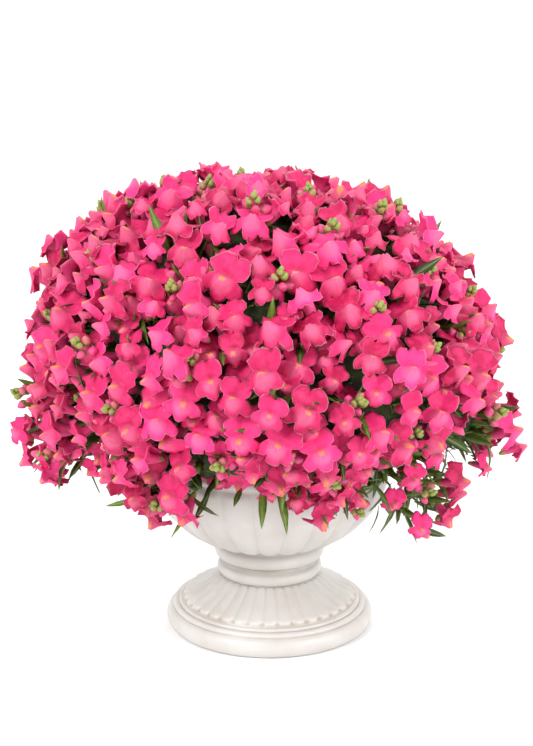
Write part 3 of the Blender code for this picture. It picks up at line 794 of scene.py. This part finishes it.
def foot_piece(material):
    """The round foot: a rolled edge, two small steps, a skirt of rounded ribs, and a ring under the bowl."""
    profile = [(0.0, 0.0, 0.0), (0.060, 0.0, 0.0), (0.0965, 0.0, 0.3)]
    profile += arc_points((0.0990, 0.0095), (0.0065, 0.0094), -78, 78, 22)
    profile += [(0.0992, 0.0192, 0.9), (0.0986, 0.0200, 0.6)]
    profile += arc_points((0.0955, 0.0212), (0.0034, 0.0030), -30, 95, 8)
    profile += [(0.0938, 0.0238, 0.8), (0.0930, 0.0242, 0.5)]
    profile += arc_points((0.0906, 0.0248), (0.0025, 0.0022), -20, 95, 6)
    profile += [(0.0893, 0.0268, 0.7), (0.0889, 0.0272, 0.9)]
    first = len(profile)
    low, high = Vector((0.0885, 0.0280)), Vector((0.0500, 0.0528))
    count = 26
    for k in range(count + 1):
        t = k / count
        height = low.y + (t - 0.35 * t * (1 - t)) * (high.y - low.y)
        profile.append((low.x + t * (high.x - low.x), height, 0.0))
    last = len(profile) - 1
    profile += [(0.0484, 0.0538, 0.9), (0.0490, 0.0546, 0.6)]
    profile += arc_points((0.0478, 0.0605), (0.0056, 0.0062), -68, 72, 12)
    profile += [(0.0478, 0.0672, 0.7), (0.0470, 0.0700, 0.9), (0.0462, 0.0712, 0.9)]
    profile += [(0.0330, 0.0714, 0.0), (0.0320, 0.0712, 0.0), (0.0320, 0.0615, 0.0), (0.0, 0.0615, 0.0)]

    def ribs(index, turn):
        if not first <= index <= last:
            return 0.0, 0.0
        half = math.pi * profile[index][0] / FOOT_RIBS
        from_low = math.dist(profile[first][:2], profile[index][:2]) / half
        from_high = math.dist(profile[last][:2], profile[index][:2]) / half + 0.35
        height = flute_height(across_rib(turn, FOOT_RIBS), min(from_low, from_high))
        return 0.46 * half * height**0.8, 1.0 - min(1.0, 1.3 * height)

    foot = lathe("fine_foot", profile, 11 * FOOT_RIBS, ribs)
    foot.data.materials.append(material)
    return foot


def hollow_radius(height):
    """Radius of the bowl's hollow at a height."""
    share = (RIM_HEIGHT - height) / (BOWL_DEPTH - BOWL_WALL)
    return (BOWL_RADIUS - BOWL_WALL) * math.sqrt(max(0.0, 1.0 - share * share))


def bowl_piece(material):
    """The round bowl: a collar, a half ellipsoid of convex ribs with scalloped ends, and a rolled lip."""
    profile = [(0.0, 0.0619, 0.0), (0.0314, 0.0619, 0.0), (0.0316, 0.0717, 0.0), (0.0450, 0.0720, 0.9)]
    profile += arc_points((0.0490, 0.0800), (0.0070, 0.0078), -84, 70, 14)
    profile += [(0.0508, 0.0890, 1.0), (0.0540, 0.0912, 0.8)]
    start = math.asin((0.0922 - RIM_HEIGHT) / BOWL_DEPTH)
    step = math.radians(1.1)
    count = 36
    turns = [(start + step * k, 0.25) for k in range(4)]
    turns += [((start + 4 * step) * (1 - k / count), 0.0) for k in range(count + 1)]
    first = len(profile) + 4
    for turn, dirt in turns:
        profile.append((BOWL_RADIUS * math.cos(turn), RIM_HEIGHT + BOWL_DEPTH * math.sin(turn), dirt))
    last = len(profile) - 1
    hollow = BOWL_RADIUS - BOWL_WALL
    profile += arc_points((BOWL_RADIUS - 0.001, RIM_HEIGHT + 0.0065), (0.0072, 0.0065), -62, 90, 12)
    profile += [(hollow - 0.001, RIM_HEIGHT + 0.0128, 0.0), (hollow, RIM_HEIGHT + 0.0110, 0.2)]
    for height in [RIM_HEIGHT] + [SOIL_HEIGHT + (BOWL_FLOOR - SOIL_HEIGHT) * k / 6 for k in range(7)]:
        profile.append((hollow_radius(height), height, 0.6))
    profile.append((0.0, BOWL_FLOOR, 0.0))

    def ribs(index, turn):
        if not first <= index <= last:
            return 0.0, 0.0
        half = math.pi * profile[index][0] / BOWL_RIBS
        along = math.dist(profile[first][:2], profile[index][:2]) / half
        height = flute_height(across_rib(turn, BOWL_RIBS), along)
        fade = min(1.0, 0.2 + (last - index) / 3.0)
        return min(0.36 * half, 0.0046) * height * fade, 1.0 - min(1.0, 1.25 * height)

    bowl = lathe("fine_bowl", profile, 17 * BOWL_RIBS, ribs)
    bowl.data.materials.append(material)
    return bowl


def soil_base():
    """The soil's body: it fills the bowl's hollow and has a lumpy, slightly domed top."""
    low = BOWL_FLOOR + GAP
    profile = [(0.0, low, 0.0), (0.020, low, 0.0)]
    for k in range(7):
        height = BOWL_FLOOR + (SOIL_HEIGHT - BOWL_FLOOR) * k / 6
        profile.append((hollow_radius(height) - GAP, max(height, low), 0.0))
    edge = profile[-1][0]
    for share in (0.97, 0.88, 0.76, 0.64, 0.52, 0.40, 0.28, 0.16, 0.06):
        profile.append((edge * share, SOIL_HEIGHT + SOIL_CROWN * (1 - share**2), 0.0))
    profile.append((0.0, SOIL_HEIGHT + SOIL_CROWN, 0.0))
    rng = random.Random(21)

    def lumps(index, turn):
        return (rng.uniform(-0.0009, 0.0009), 0.0) if index > 9 else (0.0, 0.0)

    return lathe("peat_base", profile, 96, lumps)


# Settings, shown in the panel


class UrnSettings(bpy.types.PropertyGroup):
    resin_colour_code: StringProperty(name="Resin", description="Main colour, #rrggbb", default="#cfccc8")
    wash_colour_code: StringProperty(name="Wash", description="Colour in the grooves", default="#a3917e")
    wash_strength: FloatProperty(
        name="Wash strength", description="How much of the wash shows", default=0.50, min=0.0, max=1.0,
        subtype="FACTOR",
    )


class BlossomSettings(bpy.types.PropertyGroup):
    floret_size: FloatProperty(
        name="Floret half width", description="Reach of a full floret's lobes", default=0.0200, min=0.01,
        max=0.03, unit="LENGTH", subtype="DISTANCE",
    )
    deep_colour_code: StringProperty(name="Deep pink", description="#rrggbb", default="#a3003a")
    light_colour_code: StringProperty(name="Light pink", description="#rrggbb", default="#f53580")
    spot_colour_code: StringProperty(name="Palate spot", description="#rrggbb", default="#f0a83a")
    spot_strength: FloatProperty(
        name="Spot strength", description="How much the palate's spot shows", default=0.60, min=0.0, max=1.0,
        subtype="FACTOR",
    )
    tilt: FloatProperty(
        name="Tilt", description="Most that a floret turns from its place", default=0.50, min=0.0, max=1.0,
        unit="ROTATION", subtype="ANGLE",
    )
    seed: IntProperty(name="Seed", description="Seed of the random turns", default=7)


class LeafSettings(bpy.types.PropertyGroup):
    dark_colour_code: StringProperty(name="Dark green", description="#rrggbb", default="#2a400a")
    light_colour_code: StringProperty(name="Light green", description="#rrggbb", default="#688524")
    length: FloatProperty(
        name="Leaf length", description="Length of a full leaf", default=0.042, min=0.01, max=0.1,
        unit="LENGTH", subtype="DISTANCE",
    )
    per_floret: IntProperty(
        name="Leaves a floret", description="Leaves behind each floret", default=3, min=0
    )
    per_spray: IntProperty(
        name="Leaves a spray", description="Leaves on each trailing stem", default=9, min=0
    )
    in_skirt: IntProperty(
        name="Skirt leaves", description="Leaves round the bush's underside", default=260, min=0
    )
    seed: IntProperty(name="Seed", description="Seed of the leaves' places", default=5)


class StageSettings(bpy.types.PropertyGroup):
    key_power: FloatProperty(name="Key light", description="Power", default=62.0, min=0.0, unit="POWER")
    fill_power: FloatProperty(name="Fill light", description="Power", default=32.0, min=0.0, unit="POWER")
    ambient: FloatProperty(name="Ambient", description="Strength of the sky", default=0.68, min=0.0)


# Operators, one for each piece or group


class SNAPDRAGON_OT_urn(bpy.types.Operator):
    """Replace the plain foot and bowl by finely ribbed ones in antique white resin"""

    bl_idname = "snapdragon.urn"
    bl_label = "Urn"
    bl_options = {"REGISTER", "UNDO"}

    def execute(self, context):
        material = urn_material(context.scene.snapdragon_urn)
        foot = foot_piece(material)
        bowl = bowl_piece(material)
        for piece, node in ((foot, "urn_foot"), (bowl, "urn_bowl")):
            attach(piece, "root")
            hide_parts(node)
        return {"FINISHED"}


class SNAPDRAGON_OT_soil(bpy.types.Operator):
    """Fill the bowl with damp peat and strew crumbs on it"""

    bl_idname = "snapdragon.soil"
    bl_label = "Soil"
    bl_options = {"REGISTER", "UNDO"}

    def execute(self, context):
        base = soil_base()
        crumbs = variants("peat_crumb", 3, crumb_mesh)
        soil = grown(
            base, crumb_tree(), "peat", pieces=crumbs, material=soil_material(), seed=3, density=7000.0,
            size=0.0022,
        )
        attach(soil, "root")
        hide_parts("potting_soil")
        return {"FINISHED"}


class SNAPDRAGON_OT_blossom(bpy.types.Operator):
    """Grow the two-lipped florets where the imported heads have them, and deeper ones in the gaps"""

    bl_idname = "snapdragon.blossom"
    bl_label = "Florets"
    bl_options = {"REGISTER", "UNDO"}

    def execute(self, context):
        settings = context.scene.snapdragon_blossom
        florets, extra = all_florets()
        heads = heads_of(florets)
        if sorted(heads) != HEADS:
            raise ValueError("a packed head has no florets")
        home = {head: side_of(middle_of(group)[0]) for head, group in heads.items()}
        rng = random.Random(settings.seed)
        forms = len(FLORET_FORMS)
        pieces = variants("floret", forms, lambda n, k, c: floret_mesh(n, 31 + k, FLORET_FORMS[k], c))
        tree = scatter_tree()
        material = petal_material(settings)
        for side, _ in SIDES:
            places = []
            for floret in florets + extra:
                if home[floret["head"]] != side:
                    continue
                trailing = len(heads[floret["head"]]) < FULL_HEAD
                size = settings.floret_size * (0.94 if floret["deep"] else 1.0) * (0.84 if trailing else 1.0)
                loose = Vector((rng.uniform(-1, 1), rng.uniform(-1, 1), rng.uniform(-1, 1))) * 0.0035
                at = floret["at"] - floret["facing"] * 0.001 + loose
                places.append(place_of(at, floret["facing"], size, rng.randrange(forms), rng.random()))
            base = points_object("floret_places", places)
            piece = grown(
                base, tree, f"blossom_{side}", pieces=pieces, material=material, seed=settings.seed,
                tilt=settings.tilt, size_spread=0.24,
            )
            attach(piece, "root")
            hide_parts(*(head for head in HEADS if home[head] == side))
        return {"FINISHED"}


class SNAPDRAGON_OT_greenery(bpy.types.Operator):
    """Fill the bush with leaves, stems, buds and a heart painted as deep shade"""

    bl_idname = "snapdragon.greenery"
    bl_label = "Greenery"
    bl_options = {"REGISTER", "UNDO"}

    def execute(self, context):
        settings = context.scene.snapdragon_leaf
        rng = random.Random(settings.seed)
        florets, extra = all_florets()
        scatter = scatter_tree()
        self.make_leaves(settings, florets, extra, rng, scatter)
        self.make_heart(florets)
        self.make_stems(heads_of(florets))
        self.make_buds(florets, rng, scatter)
        return {"FINISHED"}

    def make_leaves(self, settings, florets, extra, rng, scatter):
        """Leaves where the bush has them, behind the florets, on the trailing stems and under the dome."""

        def loose(scale):
            return Vector((rng.gauss(0, 1), rng.gauss(0, 1), rng.gauss(0, 1))) * scale

        def leaf(root, along, upper):
            """A leaf from its root along a direction, its face towards upper."""
            side = upper.cross(along)
            if side.length < 0.05:
                side = along.orthogonal()
            face = along.cross(side.normalized())
            size = settings.length * rng.uniform(0.7, 1.1)
            places.append(place_of(root, along, size, rng.randrange(len(LEAF_ARCHES)), rng.random(), face))

        places = []
        for tip, along in packed_leaves():
            leaf(tip - along * settings.length, along, along.orthogonal())
        for floret in florets + extra:
            for _ in range(settings.per_floret):
                out = (floret["facing"] + loose(0.55)).normalized()
                root = floret["at"] - floret["facing"] * rng.uniform(0.036, 0.054) + loose(0.009)
                leaf(root, out, floret["facing"])
        for group in heads_of(florets).values():
            middle, axis = middle_of(group)
            for _ in range(settings.per_spray if len(group) < FULL_HEAD else 0):
                root = middle - axis * rng.uniform(0.020, 0.060) + loose(0.002)
                leaf(root, (axis * 0.4 + loose(0.7) - UP * 0.3).normalized(), axis)
        for _ in range(settings.in_skirt):
            turn = rng.gauss(math.radians(-42), 0.45) if rng.random() < 0.4 else rng.uniform(0, 2 * math.pi)
            flat = Vector((math.cos(turn), math.sin(turn), 0.0))
            root = flat * rng.uniform(0.115, 0.170) + UP * rng.uniform(0.190, 0.235)
            leaf(root, (flat + loose(0.45) - UP * rng.uniform(-0.3, 0.5)).normalized(), UP)
        count = len(LEAF_ARCHES)
        leaves = variants("leaf", count, lambda n, k, c: leaf_mesh(n, 51 + k, LEAF_ARCHES[k], c))
        base = points_object("leaf_places", places)
        piece = grown(
            base, scatter, "leaves", pieces=leaves, material=leaf_material(settings), seed=settings.seed,
            tilt=0.2, size_spread=0.18,
        )
        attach(piece, "root")
        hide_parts("bush")

    def make_heart(self, florets):
        """A lumpy form inside the shell of florets, coloured nearly black as painted shade of the bush's dense
        inside.
        """
        tree = floret_tree(florets)
        bm = bmesh.new()
        bmesh.ops.create_icosphere(bm, subdivisions=5, radius=1.0)
        rng = random.Random(9)
        for vert in bm.verts:
            direction = vert.co.normalized()
            reach = max(0.07, shell_reach(tree, florets, direction) - SHELL)
            place = HEART + direction * reach * rng.uniform(0.97, 1.03)
            place.z = max(place.z, HEART_FLOOR + rng.uniform(0.0, 0.006))
            vert.co = place
        for face in bm.faces:
            face.smooth = True
        # The heart's near black colour is painted shade between the florets, not a part of the plant
        piece = object_of(bm, "bush_heart")
        piece.data.materials.append(shade_material())
        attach(piece, "root")
        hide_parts("bush")

    def make_stems(self, heads):
        """Main stems out of the soil, a spike's stem to each head, and a stalk to each floret."""
        paths = []
        for k in range(STEM_COUNT):
            turn = 2 * math.pi * (k + 0.25) / STEM_COUNT
            foot = Vector((0.052 * math.cos(turn), 0.052 * math.sin(turn), 0.150))
            paths.append([(foot, 0.0046), (foot + UP * 0.05, 0.0042), (foot + UP * 0.12 + foot * 0.3, 0.0030)])
        for group in heads.values():
            middle, axis = middle_of(group)
            tip = middle - axis * 0.012
            if len(group) < FULL_HEAD:
                flat = Vector((middle.x, middle.y, 0.0)).normalized()
                knee = flat * 0.144 + UP * 0.217
                paths.append([(HEART * 0.9 + flat * 0.09, 0.0024), (knee, 0.0024), (tip, 0.0018)])
            else:
                low = HEART + (middle - HEART) * 0.5
                paths.append([(low, 0.0024), (middle - axis * 0.03, 0.0022), (tip, 0.0016)])
            for floret in group:
                back = floret["at"] - floret["facing"] * 0.026
                low = middle - axis * 0.036 + (back - middle) * 0.25
                paths.append([(low, 0.0012), ((low + back) / 2 - UP * 0.002, 0.0011), (back, 0.0011)])
        base = paths_object("stem_paths", paths)
        piece = grown(base, tube_tree(), "stems", material=stem_material(), sides=7)
        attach(piece, "root")
        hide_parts("bush")

    def make_buds(self, florets, rng, scatter):
        """Spikes of closed buds that stand in the wider gaps between florets."""
        places = []
        for gap in gap_florets(florets, 0.0190, 0.0620, 0.003):
            level, rise = side_axes(gap["facing"])
            axis = (gap["facing"] + UP * 0.35).normalized()
            for k in range(9):
                turn = 2.4 * k
                out = level * math.cos(turn) + rise * math.sin(turn)
                step = k / 8
                at = gap["at"] + axis * (0.018 * step - 0.008) + out * 0.0052 * (1.1 - step)
                along = (axis * (0.6 + step) + out * (1.1 - step)).normalized()
                size = 0.0105 * (1.15 - 0.6 * step) * rng.uniform(0.9, 1.1)
                places.append(place_of(at, along, size, rng.randrange(3), max(0.0, 1.0 - step * 1.1)))
        buds = variants("bud", 3, lambda n, k, c: bud_mesh(n, 71 + k, c))
        base = points_object("bud_places", places)
        piece = grown(
            base, scatter, "buds", pieces=buds, material=bud_material(), seed=4, tilt=0.15, size_spread=0.1
        )
        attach(piece, "root")
        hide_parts("bush")


class SNAPDRAGON_OT_stage(bpy.types.Operator):
    """Set up the pale floor, the soft studio lights and the camera at the photograph's angle"""

    bl_idname = "snapdragon.stage"
    bl_label = "Stage"
    bl_options = {"REGISTER", "UNDO"}

    def execute(self, context):
        settings = context.scene.snapdragon_stage
        self.make_floor()
        world = bpy.data.worlds.new("studio_air")
        world.use_nodes = True
        world.node_tree.nodes["Background"].inputs["Color"].default_value = srgb("#ffffff")
        world.node_tree.nodes["Background"].inputs["Strength"].default_value = settings.ambient
        context.scene.world = world
        self.make_light("key_light", (-1.6, -1.8, 2.2), 1.6, settings.key_power)
        self.make_light("fill_light", (1.9, -1.2, 1.3), 1.4, settings.fill_power)
        self.make_light("rear_light", (0.3, 2.0, 2.0), 1.6, settings.fill_power)
        back = Vector((0.0, -math.cos(CAMERA_RISE), math.sin(CAMERA_RISE)))
        camera = linked("camera", bpy.data.cameras.new("camera"))
        camera.location = CAMERA_TARGET + back * CAMERA_DISTANCE
        camera.rotation_mode = "QUATERNION"
        camera.rotation_quaternion = (-back).to_track_quat("-Z", "Y")
        camera.data.sensor_width = SENSOR_MM
        camera.data.lens = SENSOR_MM * 1000.0 * CAMERA_DISTANCE / PHOTO_SIDE_MM
        context.scene.camera = camera
        context.scene.view_settings.view_transform = "Standard"
        return {"FINISHED"}

    def make_floor(self):
        """A round sheet that curves up far behind the object on every side."""
        bm = bmesh.new()
        profile = [(0.5, 0.0), (1.5, 0.0), (2.6, 0.0)]
        for k in range(1, 13):
            turn = math.radians(7.5 * k)
            profile.append((2.6 + 1.4 * math.sin(turn), 1.4 * (1 - math.cos(turn))))
        profile += [(4.0, 2.2), (4.0, 3.2)]
        turns = [2 * math.pi * k / 96 for k in range(96)]
        rings = []
        for radius, height in profile:
            rings.append([bm.verts.new((radius * math.cos(t), radius * math.sin(t), height)) for t in turns])
        grid_faces(bm, rings)
        bm.faces.new(rings[0])
        floor = smooth_object(bm, "studio_floor")
        floor.data.flip_normals()
        floor.data.materials.append(floor_material())

    def make_light(self, name, place, size, power):
        """A soft round light that looks at the object."""
        lamp = linked(name, bpy.data.lights.new(name, "AREA"))
        lamp.data.shape = "DISK"
        lamp.data.size = size
        lamp.data.energy = power
        lamp.location = place
        lamp.rotation_mode = "QUATERNION"
        lamp.rotation_quaternion = (Vector((0, 0, 0.25)) - Vector(place)).to_track_quat("-Z", "Y")


class SNAPDRAGON_PT_panel(bpy.types.Panel):
    """Lists the pieces in the order in which they are made"""

    bl_idname = "SNAPDRAGON_PT_panel"
    bl_label = "Snapdragon in an urn"
    bl_space_type = "VIEW_3D"
    bl_region_type = "UI"
    bl_category = "Snapdragon"

    def draw(self, context):
        for group, operators in PANEL_ROWS:
            box = self.layout.box()
            settings = getattr(context.scene, group)
            for key in settings.bl_rna.properties.keys():
                if key not in ("rna_type", "name"):
                    box.prop(settings, key)
            for operator in operators:
                box.operator(operator)


PANEL_ROWS = (
    ("snapdragon_urn", ("snapdragon.urn", "snapdragon.soil")),
    ("snapdragon_blossom", ("snapdragon.blossom",)),
    ("snapdragon_leaf", ("snapdragon.greenery",)),
    ("snapdragon_stage", ("snapdragon.stage",)),
)
GROUPS = (
    ("snapdragon_urn", UrnSettings), ("snapdragon_blossom", BlossomSettings),
    ("snapdragon_leaf", LeafSettings), ("snapdragon_stage", StageSettings),
)
CLASSES = (
    UrnSettings, BlossomSettings, LeafSettings, StageSettings, SNAPDRAGON_OT_urn, SNAPDRAGON_OT_soil,
    SNAPDRAGON_OT_blossom, SNAPDRAGON_OT_greenery, SNAPDRAGON_OT_stage, SNAPDRAGON_PT_panel,
)


def register():
    for cls in CLASSES:
        bpy.utils.register_class(cls)
    for name, cls in GROUPS:
        setattr(bpy.types.Scene, name, PointerProperty(type=cls))


def unregister():
    for name, _ in GROUPS:
        delattr(bpy.types.Scene, name)
    for cls in reversed(CLASSES):
        bpy.utils.unregister_class(cls)


def main():
    register()
    bpy.ops.snapdragon.urn()
    bpy.ops.snapdragon.soil()
    bpy.ops.snapdragon.blossom()
    bpy.ops.snapdragon.greenery()
    bpy.ops.snapdragon.stage()


if __name__ == "__main__":
    main()
